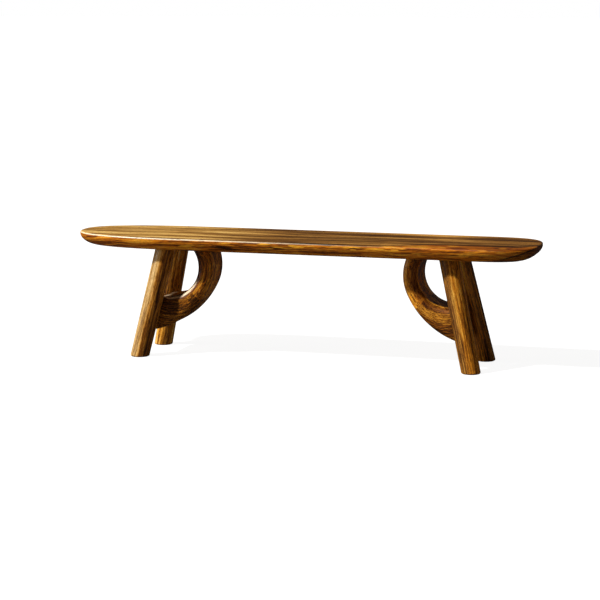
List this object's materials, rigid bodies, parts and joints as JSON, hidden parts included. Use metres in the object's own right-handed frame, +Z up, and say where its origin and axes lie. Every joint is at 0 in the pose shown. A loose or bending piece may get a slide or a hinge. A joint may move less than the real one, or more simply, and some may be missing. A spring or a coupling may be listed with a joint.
{
  "type": "bench",
  "caption": "Long low wooden bench with a round-ended plank seat, splayed round legs and broad curved arms that brace each pair of legs to the underside of the seat.",
  "frame": {"origin": "on the floor under the middle of the seat", "axes": "+X along the seat, +Y from the front edge to the back edge, +Z up"},
  "size_m": [1.742, 0.344, 0.45],
  "materials": {
    "seat_wood": "satin clear finish on brown figured wood",
    "leg_wood": "satin clear finish on brown straight-grained wood",
    "arm_wood": "satin clear finish on brown figured wood",
    "dowel_wood": "bare pale wood, hidden in the joints"
  },
  "bodies": {
    "root": {"front_plank": "seat_wood", "back_plank": "seat_wood", "plank_dowels": "dowel_wood", "front_left_leg": "leg_wood", "front_right_leg": "leg_wood", "back_left_leg": "leg_wood", "back_right_leg": "leg_wood", "left_arm_upper": "arm_wood", "left_arm_lower": "arm_wood", "right_arm_upper": "arm_wood", "right_arm_lower": "arm_wood", "left_arm_tenon": "dowel_wood", "right_arm_tenon": "dowel_wood", "arm_splice_dowels": "dowel_wood", "arm_leg_dowels": "dowel_wood"}
  },
  "joints": []
}
